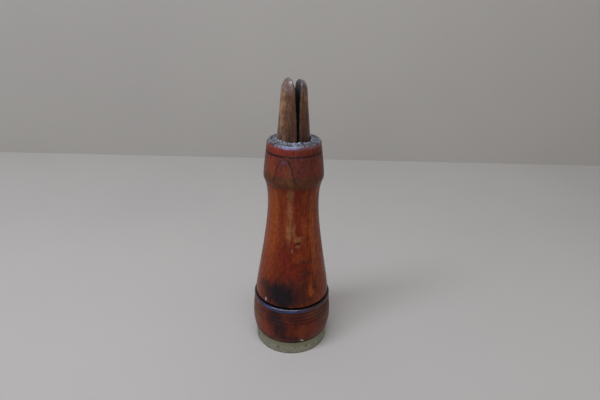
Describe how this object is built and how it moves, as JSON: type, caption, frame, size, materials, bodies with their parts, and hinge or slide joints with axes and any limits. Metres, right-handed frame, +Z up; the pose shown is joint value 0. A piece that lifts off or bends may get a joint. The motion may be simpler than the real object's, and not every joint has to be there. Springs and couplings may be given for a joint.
{
  "type": "butter mold",
  "caption": "Hand butter mold: turned wooden grip and banded cup, with a carved stamp on a split stem that is pushed down through the grip to press out the pat.",
  "frame": {"origin": "on the turning axis, in the plane of the metal band's lower edge, which the mold stands on", "axes": "+Z up along the turning axis to the prongs; the saw cut between the prongs lies in the YZ plane, so the prongs are at -X and +X"},
  "size_m": [0.0496, 0.0496, 0.1667],
  "materials": {
    "varnished_wood": "red-brown stain under a worn gloss varnish",
    "case_wood": "dark red-brown stain under a gloss varnish, bare inside",
    "band_metal": "dull nickel-plated brass, tarnished grey-green",
    "tack_iron": "dark rusted iron",
    "stamp_wood": "bare close-grained wood, darkened by use",
    "stem_wood": "weathered unstained wood, worn smooth",
    "peg_wood": "bare wood dowel"
  },
  "bodies": {
    "handle": {"grip_body": "varnished_wood", "case_cup": "case_wood", "rim_band": "band_metal", "band_tacks": "tack_iron"},
    "plunger": {"stamp_disc": "stamp_wood", "split_stem": "stem_wood", "stem_peg": "peg_wood"}
  },
  "joints": [
    {"name": "plunger_slide", "type": "slide", "parent": "handle", "child": "plunger", "axis": [0, 0, -1], "range_m": [0, 0.0135]}
  ]
}
